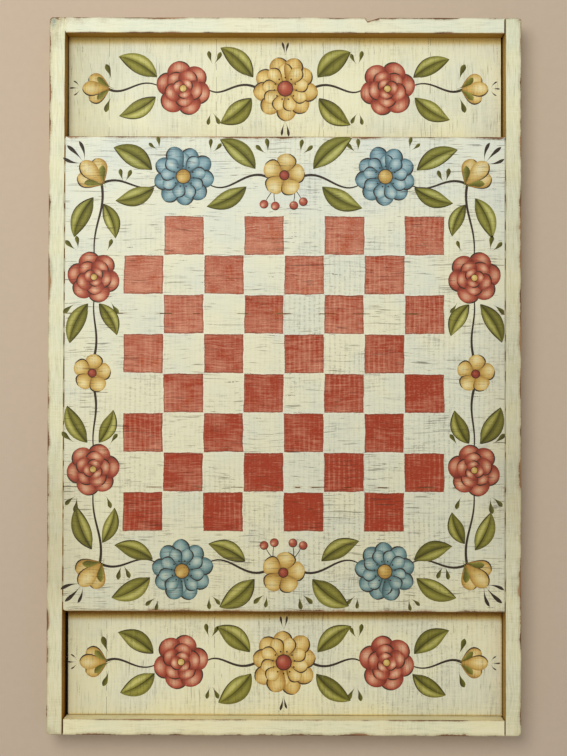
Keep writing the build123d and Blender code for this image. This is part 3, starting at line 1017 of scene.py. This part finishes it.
class Painting:
    """Brush strokes, gathered as thin closed films for one mesh."""

    def __init__(self, seed):
        self.chance = random.Random(seed)
        self.points, self.faces, self.slots, self.pigments, self.covers = [], [], [], [], []
        self.count = 0
        self.ground = "plank"
        self.centre = np.zeros(2)
        self.mirror = np.ones(2)

    def near(self, value, share):
        """A value changed at random by up to this share."""
        return value * (1 + self.chance.uniform(-share, share))

    def stroke(self, path, half_width, colours, tone, layer, step=0, columns=7, fade=0.05, cover=None):
        """One film along a path.

        tone is its lightness, or gives it from the places along and across it. layer and step raise the
        film over others, fade thins its paint at the rims, and cover is how well it hides its ground.
        """
        path = self.centre + path * self.mirror
        tangent = np.gradient(path, axis=0)
        tangent /= np.linalg.norm(tangent, axis=1)[:, None]
        normal = np.stack((-tangent[:, 1], tangent[:, 0]), 1)
        half = np.maximum(np.broadcast_to(half_width, len(path)), THINNEST)
        across = np.linspace(-1, 1, columns)
        rows = len(path)
        plan = path[:, None] + normal[:, None] * (half[:, None] * across)[..., None]
        along = shares_along(path)[:, None] + 0 * across
        value = tone(along, across + 0 * along) if callable(tone) else tone + 0 * along
        colour = ramp(colours, value + self.chance.uniform(-0.05, 0.05))
        if cover is None:
            cover = SOLID if colours is DARK else COVER
        covers = cover * (1 - fade * np.clip((np.abs(across) - 0.8) / 0.2, 0, 1) + 0 * along)

        # Neighbours in one layer differ a little in height, so that no two films coincide.
        height = GROUNDS[self.ground]
        top_z = height + LAYER_STEP * layer + FILM_STEP * (step + 0.15 * (len(self.points) % 6))
        low_z = height - FILM_SUNK
        top = np.dstack((plan, np.full((rows, columns), top_z))).reshape(-1, 3)
        low = np.dstack((plan[:, [0, -1]], np.full((rows, 2), low_z))).reshape(-1, 3)
        self.points.append(np.vstack((top, low)))
        for values, store in ((colour, self.pigments), (covers, self.covers)):
            store.append(values.reshape(rows * columns, -1))
            store.append(values[:, [0, -1]].reshape(rows * 2, -1))

        grid = np.arange(rows * columns).reshape(rows, columns) + self.count
        rim = np.arange(rows * 2).reshape(rows, 2) + self.count + rows * columns
        quads = [
            (grid[:-1, :-1], grid[1:, :-1], grid[1:, 1:], grid[:-1, 1:]),
            (rim[:-1, :1], rim[:-1, 1:], rim[1:, 1:], rim[1:, :1]),
            (grid[:-1, :1], rim[:-1, :1], rim[1:, :1], grid[1:, :1]),
            (grid[:-1, -1:], grid[1:, -1:], rim[1:, 1:], rim[:-1, 1:]),
        ]
        faces = [face for group in quads for face in np.stack(group, -1).reshape(-1, 4).tolist()]
        faces.append([*grid[0].tolist(), int(rim[0, 1]), int(rim[0, 0])])
        faces.append([*grid[-1, ::-1].tolist(), int(rim[-1, 0]), int(rim[-1, 1])])
        self.faces += faces
        self.slots += [list(GROUNDS).index(self.ground)] * len(faces)
        self.count += rows * (columns + 2)

    def line(self, path, start, stop, layer=0.8, colours=DARK, tone=0.4, middle=None, step=0):
        """A liner stroke. Its half width runs from start to stop, by way of middle where that is given."""
        widths = np.linspace(start, stop, len(path))
        if middle:
            widths = np.interp(np.linspace(0, 1, len(path)), (0, 0.55, 1), (start, middle, stop))
        widths[0] = widths[-1] = THINNEST
        self.stroke(path, widths, colours, tone, layer, step, columns=2, fade=0, cover=SOLID)

    def comma(self, foot, tip, bend, half_width, colours, layer, tone):
        """A comma stroke: full near its tip and fine at its foot."""
        foot, tip = np.array(foot, float), np.array(tip, float)
        side = np.array((foot[1] - tip[1], tip[0] - foot[0])) * bend
        path = curve(foot, (foot + tip) / 2 + side, tip, count=14)
        width = petal_width(path, half_width, fullest=0.76, blunt=0.8)

        def shade(along, across):
            return tone + 0.20 * across + 0.10 * along

        self.stroke(path, width, colours, shade, layer, columns=4, fade=0.1)

    def dot(self, centre, radius, colours, layer, tone, light=0.35, step=0):
        """A round dab, lighter towards its upper left."""
        centre = np.array(centre, float)
        large = radius > 2.0
        path = curve(centre - (radius, 0), centre + (radius, 0), count=11 if large else 8)
        width = np.sqrt(np.maximum(radius**2 - (path[:, 0] - centre[0]) ** 2, 0))

        def shade(along, across):
            u, v = 2 * along - 1, across * np.sqrt(np.maximum(1 - (2 * along - 1) ** 2, 0))
            glint = np.exp(-((u * self.mirror[0] + 0.35) ** 2 + (v - 0.35) ** 2) / 0.20)
            return tone + light * glint - 0.30 * (u**2 + v**2)

        self.stroke(path, width, colours, shade, layer, step, columns=7 if large else 4)

    def leaf(self, foot, degrees, length, half_width, bend):
        """A pointed leaf: each half is pale along its middle, and a dark rib parts them."""
        length, half_width = self.near(length, 0.06), self.near(half_width, 0.08)
        degrees += self.chance.uniform(-4, 4)
        foot = np.array(foot, float)
        reach = direction(degrees) * length
        side = direction(degrees + 90) * length * bend
        path = curve(foot, foot + reach * 0.35 + side, foot + reach * 0.75 + side, foot + reach, count=18)
        width = petal_width(path, half_width, 0.48, 0.92)
        handed = self.mirror[0] * self.mirror[1]
        bright_side = self.chance.choice((-1, 1))
        base = self.chance.uniform(-0.05, 0.08)

        def shade(along, across):
            swell = np.sin(math.pi * np.clip(along, 0, 1)) ** 0.6
            pale = np.exp(-(((np.abs(across) - 0.5) / 0.30) ** 2)) * swell
            lit = np.clip(0.5 + 2.5 * across * handed * bright_side, 0, 1)
            rib = np.exp(-((across / 0.20) ** 2)) * np.clip(1.2 - along, 0, 1)
            foot_shade = np.exp(-along / 0.14)
            return 0.25 + base + (0.30 + 0.24 * lit) * pale + 0.10 * lit - 0.14 * rib - 0.26 * foot_shade

        self.stroke(path, width, LEAF, shade, LEAF_LAYER, columns=11)
        rib_layer = LEAF_LAYER + 0.5
        self.line(path[1:-4], 0.60, 0.10, rib_layer, LEAF, 0.02, middle=0.34)
        beside = direction(degrees - 90) * (width[:, None] * 0.97)
        self.line((path + beside)[4:], 0.10, 0.18, rib_layer, LEAF, 0.0, middle=0.5)
        if self.chance.random() < 0.4:
            self.line((path - beside)[:11], 0.35, 0.10, rib_layer, middle=0.38)

    def petal(self, centre, degrees, inner, outer, half_width, colours, layer, step, tone, fullest=0.66):
        """A petal: pale towards its end, deeper at its rim and foot, with a dark line down one side."""
        centre = np.array(centre, float)
        out = direction(degrees)
        path = curve(centre + out * inner, centre + out * outer, count=14)
        width = petal_width(path, half_width, fullest, 0.55)

        def shade(along, across):
            glow = np.exp(-(((along - 0.68) / 0.30) ** 2) - ((across - 0.12) / 0.70) ** 2)
            rim = 0.26 * np.abs(across) ** 3 + 0.16 * np.clip((along - 0.9) / 0.1, 0, 1)
            return tone + 0.16 * along + 0.56 * glow - rim - 0.18 * np.exp(-along / 0.18)

        self.stroke(path, width, colours, shade, layer, step, columns=9)
        side = path[4:] + direction(degrees - 90) * (width[4:, None] * 0.98)
        self.line(side, 0.10, 0.18, layer, middle=0.58, step=step + 1)

    def daisy(self, centre, radius, petals, colours, eye, turn):
        """Two rows of petals round an eye."""
        for row, (reach, offset, tone) in enumerate(((1.0, 0.5, 0.06), (0.74, 0.0, 0.22))):
            half_width = radius * reach * math.sin(math.pi / petals) * 0.86
            for number in range(petals):
                degrees = turn + 360 / petals * (number + offset) + self.chance.uniform(-4, 4)
                outer = self.near(radius * reach, 0.05)
                self.petal(
                    centre, degrees, radius * 0.14, outer, half_width, colours,
                    FLOWER_LAYER + row * 1.3, 2 * number, tone,
                )
        top = FLOWER_LAYER + 3.0
        self.dot(centre, radius * 0.25, DARK, top - 0.2, 0.45, light=0)
        self.dot(centre, radius * 0.225, eye, top, 0.36)
        for number in range(11):
            spot = np.array(centre, float) + direction(number * 360 / 11 + turn) * radius * 0.34
            self.dot(spot, radius * 0.026, DARK, top + 0.2, 0.5, light=0)

    def rose(self, centre, radius, turn):
        """A folk rose: round petals in three rings, pale near their rims."""
        centre = np.array(centre, float)
        rings = ((6, 0.60, 0.41, 0.08), (5, 0.36, 0.33, 0.12), (3, 0.14, 0.24, 0.18))
        for ring, (petals, place, size, tone) in enumerate(rings):
            for number in range(petals):
                degrees = turn + 360 / petals * (number + 0.5 * ring) + self.chance.uniform(-5, 5)
                out = direction(degrees)
                middle = centre + out * radius * place
                reach = self.near(radius * size, 0.05)
                path = curve(middle - out * reach, middle + out * reach, count=14)
                width = petal_width(path, reach * 1.04, 0.54, 0.5)

                def shade(along, across, tone=tone):
                    glow = np.exp(-(((along - 0.72) / 0.19) ** 2) - ((across + 0.1) / 0.62) ** 2)
                    rim = 0.20 * np.abs(across) ** 3 + 0.22 * np.clip((along - 0.9) / 0.1, 0, 1)
                    return tone + 0.22 * along + 0.62 * glow - rim - 0.20 * np.exp(-along / 0.3)

                layer = FLOWER_LAYER + ring
                self.stroke(path, width, RED, shade, layer, 2 * number, columns=9)
                side = path[5:] + direction(degrees + 90) * (width[5:, None] * 0.98)
                self.line(side, 0.10, 0.16, layer, middle=0.56, step=2 * number + 1)
        self.dot(centre, radius * 0.14, DARK, FLOWER_LAYER + 3.2, 0.45, light=0)
        self.dot(centre, radius * 0.12, MUSTARD, FLOWER_LAYER + 3.4, 0.5)

    def blossom(self, centre, radius):
        """A small flower of five round petals."""
        turn = 18 + self.chance.uniform(-12, 12)
        for number in range(5):
            self.petal(
                centre, turn + 72 * number, radius * 0.10, self.near(radius, 0.05), radius * 0.45,
                MUSTARD, FLOWER_LAYER, 2 * number, 0.24, fullest=0.62,
            )
        self.dot(centre, radius * 0.24, DARK, FLOWER_LAYER + 1.2, 0.45, light=0)
        self.dot(centre, radius * 0.21, RED, FLOWER_LAYER + 1.4, 0.25, light=0.2)

    def bud(self, foot, degrees, length):
        """Three petals standing out of a green cup."""
        foot = np.array(foot, float)
        for step, (lean, reach, tone) in enumerate(((26, 0.86, 0.12), (-26, 0.86, 0.12), (0, 1.0, 0.26))):
            self.petal(
                foot, degrees + lean, length * 0.10, length * reach, length * 0.25,
                MUSTARD, FLOWER_LAYER, 2 * step, tone,
            )
        low = foot - direction(degrees) * 1.2
        for side in (1, -1):
            tip = foot + direction(degrees + 38 * side) * length * 0.62
            self.comma(low, tip, -0.18 * side, length * 0.10, LEAF, FLOWER_LAYER + 1.2, 0.3)

    def berries(self, foot, degrees, count, spacing, reach, radius=3.2):
        """Berries on short stems that fan out from one foot."""
        foot = np.array(foot, float)
        for number in range(count):
            lean = degrees + (number - (count - 1) / 2) * spacing
            spot = foot + direction(lean) * self.near(reach, 0.14)
            bow = foot * 0.4 + spot * 0.6 + direction(lean + 90) * 0.8
            self.line(curve(foot, bow, spot, count=7), 0.36, 0.26)
            middle = spot + direction(lean) * radius
            shadow = middle + np.array((0.2, -0.2)) * self.mirror
            self.dot(shadow, radius + 0.30, DARK, BERRY_LAYER, 0.45, 0, 2 * number)
            self.dot(middle, radius, RED, BERRY_LAYER, 0.42, 0.55, 2 * number + 1)

    def sprig(self, foot, degrees, count, length, spacing, colours=LEAF, tone=0.12, slim=0.16):
        """Comma strokes that fan out from one foot."""
        foot = np.array(foot, float)
        for number in range(count):
            place = number - (count - 1) / 2
            out = direction(degrees + place * spacing)
            reach = self.near(length, 0.1) * (1 - 0.12 * abs(place))
            bend = 0.20 * place if place else 0.08
            tip = foot + out * (reach + 2.0)
            self.comma(foot + out * 2.0, tip, bend, reach * slim, colours, LEAF_LAYER, tone)

    def bridge(self, start, stop, half_width, bare, kept, grime=0.0):
        """Paint across a joint, from start to stop, with gaps where it has cracked away."""
        start, stop = np.array(start, float), np.array(stop, float)
        length = np.linalg.norm(stop - start)
        out = (stop - start) / length
        at = self.chance.uniform(*bare)
        while at < length - 1:
            end = min(at + self.chance.uniform(*kept), length)
            path = np.linspace(start + out * at, start + out * end, 4)
            widths = (0.15, half_width, half_width, 0.15)
            self.stroke(path, widths, DARK, 0.0, 0.4, columns=2, fade=0, cover=grime)
            at = end + self.chance.uniform(*bare)

    def finish(self, name, materials):
        """The films as one mesh, with a slot for each ground."""
        points = np.vstack(self.points)
        piece = mesh_object(name, points, self.faces, materials[0], smooth=False)
        for material in materials[1:]:
            piece.data.materials.append(material)
        piece.data.polygons.foreach_set("material_index", self.slots)
        colours = np.ones((len(points), 4), np.float32)
        colours[:, :3] = np.vstack(self.pigments)
        layer = piece.data.attributes.new("pigment", "FLOAT_COLOR", "POINT")
        layer.data.foreach_set("color", colours.ravel())
        set_attribute(piece.data, "cover", np.vstack(self.covers)[:, 0])
        plan = (points[:, :2] - points[:, :2].min(0)) / np.ptp(points[:, :2], axis=0)
        corners = np.empty(len(piece.data.loops), np.int32)
        piece.data.loops.foreach_get("vertex_index", corners)
        bake_map = piece.data.uv_layers.new(name="OFBake")
        bake_map.uv.foreach_set("vector", plan[corners].astype(np.float32).ravel())
        return piece


# The four quarters of the planks, as mirrorings of the upper right one.
QUARTERS = ((1, 1), (-1, 1), (-1, -1), (1, -1))

# One quarter of the wreath, in millimetres right and up from the middle of the planks.
# A stem is its four control points and its two widths.
WREATH_STEMS = (
    ((9, 153), (30, 168), (42, 138), (60, 150), 1.15, 0.34),
    ((98, 151), (116, 138), (126, 160), (145, 150), 0.34, 1.15),
    ((145, 151), (140, 128), (153, 118), (150, 91), 1.15, 0.34),
    ((150, 61), (153, 40), (144, 32), (151, 9), 0.34, 1.15),
)
# A leaf is its foot, its direction, its length, its half width and its bend.
WREATH_LEAVES = (
    ((23, 162), 40, 37, 8.0, 0.10),
    ((30, 148), -26, 34, 7.4, -0.10),
    ((105, 161), 28, 36, 8.0, 0.10),
    ((103, 147), -20, 32, 7.2, -0.10),
    ((151, 139), -66, 34, 7.2, 0.10),
    ((143, 134), 248, 28, 6.0, -0.10),
    ((155, 55), -64, 33, 7.2, 0.10),
    ((146, 55), 244, 29, 6.2, -0.10),
)
# A sprig is its foot, its direction, how many strokes it has, their length and the angle between them.
WREATH_SPRIGS = (
    ((13, 173), 62, 2, 11, 44),
    ((58, 174), 112, 2, 10, 44),
    ((99, 176), 60, 2, 10, 44),
    ((127, 150), 96, 2, 12, 40),
    ((163, 96), 62, 2, 12, 40),
    ((141, 95), 112, 1, 10, 34),
    ((164, 56), -40, 1, 12, 34),
    ((138, 58), 236, 1, 10, 34),
)
# Half of a tray's spray, from the middle of the tray.
TRAY_STEMS = (
    ((20, -1), (40, 12), (50, -12), (64, 1), 1.15, 0.34),
    ((100, 1), (118, 12), (128, -9), (143, 0), 0.34, 1.15),
)
TRAY_LEAVES = (
    ((26, 9), 40, 35, 8.2, 0.10),
    ((27, -8), -38, 34, 8.0, -0.10),
    ((103, 9), 30, 33, 7.4, 0.10),
    ((104, -7), -30, 33, 7.4, -0.10),
)
TRAY_SPRIGS = (
    ((58, 18), 96, 2, 11, 44),
    ((59, -18), 262, 2, 11, 44),
    ((139, 5), 70, 1, 13, 34),
    ((139, -5), -70, 1, 13, 34),
)


def paint_greenery(painting, stems, leaves, sprigs, stem_points):
    """The stems, leaves and sprigs that tables list."""
    for *controls, start, stop in stems:
        painting.line(curve(*controls, count=stem_points), start, stop, middle=0.8)
    for leaf in leaves:
        painting.leaf(*leaf)
    for sprig in sprigs:
        painting.sprig(*sprig)


def paint_wreath(painting):
    """Stems, leaves and flowers, drawn in the upper right quarter and mirrored to the others."""
    painting.ground = "plank"
    painting.centre = np.array((-0.5, panel_middle))
    for quarter in QUARTERS:
        painting.mirror = np.array(quarter, float)
        paint_greenery(painting, WREATH_STEMS, WREATH_LEAVES, WREATH_SPRIGS, 24)
        painting.berries((8, 146), -74, 2, 38, 10)
        painting.sprig((158, 166), 45, 3, 17, 30, DARK, 0.3, 0.085)
        painting.bud((142, 148), 46, 27)
        painting.daisy((80, 156), 24.0, 9, BLUE, MUSTARD, turn=90)
        painting.rose((150.5, 76), 20.5, turn=12)
    painting.mirror = np.ones(2)
    for side in (1, -1):
        painting.blossom((0, side * 157.0), 17.0)
        painting.blossom((side * 151.5, 0), 15.0)


def paint_tray(painting, middle_y, up):
    """A spray in a tray: three flowers, with leaves between them and a bud at each end."""
    painting.ground = "tray"
    painting.centre = np.array((0.0, middle_y))
    for right in (1, -1):
        painting.mirror = np.array((right, up), float)
        paint_greenery(painting, TRAY_STEMS, TRAY_LEAVES, TRAY_SPRIGS, 22)
        painting.sprig((164, 0), 0, 3, 7, 44, DARK, 0.4, 0.09)
        painting.bud((139, 0), 0, 24)
        painting.rose((82, 0), 22.0, turn=12)
        painting.sprig((0, 25), 78, 1, 11, 30, DARK, 0.4, 0.09)
        painting.sprig((0, -25), 282, 1, 11, 30, DARK, 0.4, 0.09)
    painting.mirror = np.ones(2)
    painting.daisy((0, 0), 26.0, 9, MUSTARD, RED, turn=90 * up)


def paint_joints(painting):
    """The paint runs over the joints between boards, but for some gaps."""
    painting.ground = "tray"
    wall_joint = upper_rail_y - 0.45
    path = np.linspace((inner_left + 1.5, wall_joint), (inner_right - 1.5, wall_joint), 60)
    painting.stroke(path, 0.55, LEAF, 0.0, 0.2, columns=2, fade=0, cover=0)
    for number in range(2, 6):
        x = BOXES[f"floor_board_{number}"][0][0] - 0.1
        for low_y, high_y, _, _ in TRAYS:
            painting.bridge((x, low_y), (x, high_y - 0.5), 0.6, (3.0, 15.0), (1.5, 6.0))
    painting.ground = "plank"
    right_end = (BOXES["upper_play_plank"][1][0] + inner_right) / 2
    for upper, lower in zip(PLANKS, PLANKS[1:]):
        y = (BOXES[upper][0][1] + BOXES[lower][1][1]) / 2
        painting.bridge((-right_end, y), (right_end, y), 0.7, (1.0, 14.0), (5.0, 30.0))
    painting.ground = "side_rail"
    for x, half_width, bare, kept in (
        (-right_end, 0.5, (2.0, 16.0), (3.0, 16.0)),
        (right_end, 0.65, (1.0, 9.0), (5.0, 26.0)),
    ):
        painting.bridge((x, panel_bottom + 1.5), (x, panel_top - 1.5), half_width, bare, kept, 0.42)
    corner_x = (BOXES["upper_end_rail"][0][0] + inner_left) / 2
    low_end, high_end = (corner_x, upper_rail_y + 0.8), (corner_x, half_length - 1.2)
    painting.bridge(low_end, high_end, 0.9, (0.1, 0.4), (14.0, 16.0))


def add_ornament():
    painting = Painting(seed=11)
    paint_joints(painting)
    paint_wreath(painting)
    paint_tray(painting, (upper_rail_y + panel_top) / 2, 1)
    paint_tray(painting, (lower_rail_y + panel_bottom) / 2, -1)
    piece = painting.finish("painted_ornament", [ornament_material(name) for name in GROUNDS])
    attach(piece, "root")


def add_floor():
    reach = 4000.0
    points = [(-reach, -reach, 0), (reach, -reach, 0), (reach, reach, 0), (-reach, reach, 0)]
    floor = mesh_object("studio_floor", points, [(0, 1, 2, 3)], floor_material())
    floor.location.z = -0.02 * MM


add_camera()
add_lamp()
set_world()
add_floor()
dress_nodes()
add_planks(board_material("plank"))
add_side_rails(board_material("side_rail"))
add_end_rails(board_material("end_rail"))
add_ornament()
